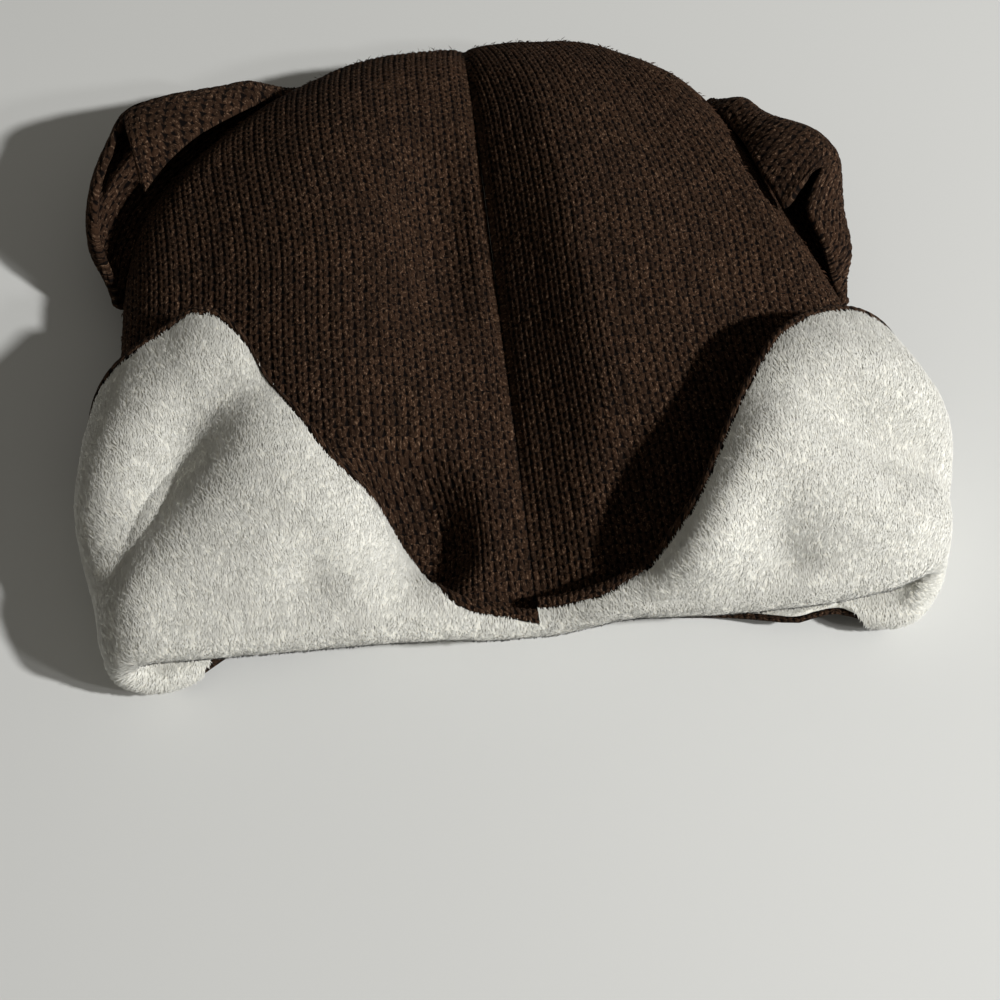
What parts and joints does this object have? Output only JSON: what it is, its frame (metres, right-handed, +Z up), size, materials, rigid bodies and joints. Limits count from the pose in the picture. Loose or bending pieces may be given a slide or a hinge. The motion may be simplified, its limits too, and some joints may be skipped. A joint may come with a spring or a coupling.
{
  "type": "baby hat with ears",
  "caption": "Knitted baby hat with cupped ears and turned-up, fleece-lined ear flaps, lying on its face with the centre-back seam up.",
  "frame": {"origin": "on the surface that the hat lies on, under the middle of its bounding box", "axes": "+X to the right across the back, +Y from the mouth towards the top of the crown, +Z up, away from the surface"},
  "size_m": [0.208, 0.1742, 0.046],
  "materials": {
    "knit": "dark brown machine knit in stocking stitch, matt and slightly fuzzy",
    "fleece": "off-white short-pile fleece, matt and soft"
  },
  "bodies": {
    "root": {"knit_left": "knit", "knit_right": "knit", "lining_left": "fleece", "lining_right": "fleece", "ear_left": "knit", "ear_right": "knit"}
  },
  "joints": []
}
